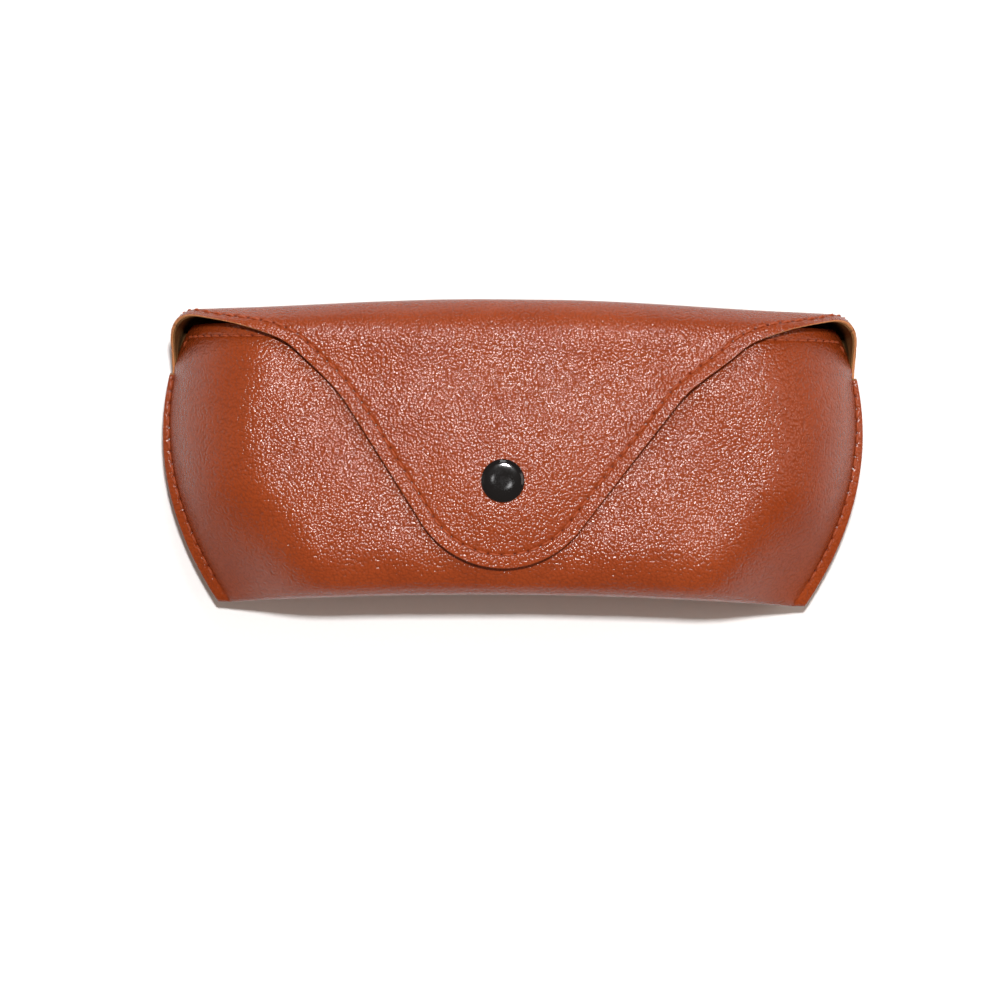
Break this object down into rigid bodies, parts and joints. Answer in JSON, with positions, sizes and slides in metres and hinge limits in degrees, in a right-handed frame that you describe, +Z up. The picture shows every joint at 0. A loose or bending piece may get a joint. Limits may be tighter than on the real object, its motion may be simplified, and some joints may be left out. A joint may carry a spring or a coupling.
{
  "type": "glasses case",
  "caption": "Soft pillow-shaped leather pouch for folded glasses, with a tongue flap that folds over the front and closes with a domed snap.",
  "frame": {"origin": "centre of the bounding box's base, on the surface that the case lies on, back down", "axes": "+X along the case's width, +Y towards the mouth and the top band, +Z up, out of the front"},
  "size_m": [0.165, 0.0712, 0.0438],
  "materials": {
    "leather": "fine pebbled grain, satin, orange-brown",
    "lining": "brushed suede-like nap, brown",
    "thread": "twisted polyester thread, red-brown",
    "snap_cap": "glossy black lacquer",
    "snap_metal": "plated sheet metal"
  },
  "bodies": {
    "pouch": {"body_leather": "leather", "body_lining": "lining", "mouth_stitching": "thread", "side_seam_stitching_left": "thread", "side_seam_stitching_right": "thread", "snap_stud": "snap_metal", "snap_stud_post": "snap_metal"},
    "band": {"band_leather": "leather", "band_lining": "lining", "band_edge_stitching_left": "thread", "band_edge_stitching_right": "thread"},
    "flap": {"flap_leather": "leather", "flap_lining": "lining", "flap_edge_stitching": "thread", "snap_cap": "snap_cap", "snap_socket": "snap_metal", "snap_ring_spring": "snap_metal"}
  },
  "joints": [
    {"name": "band_fold", "type": "hinge", "parent": "pouch", "child": "band", "pos_m": [0, 0.033, 0.0026], "axis": [-1, 0, 0], "range_deg": [0, 70]},
    {"name": "flap_fold", "type": "hinge", "parent": "band", "child": "flap", "pos_m": [0, 0.0327, 0.0373], "axis": [-1, 0, 0], "range_deg": [0, 100]}
  ],
  "couplings": [
    {"joint": "flap_fold", "follows": "band_fold", "ratio": 1.4285}
  ]
}
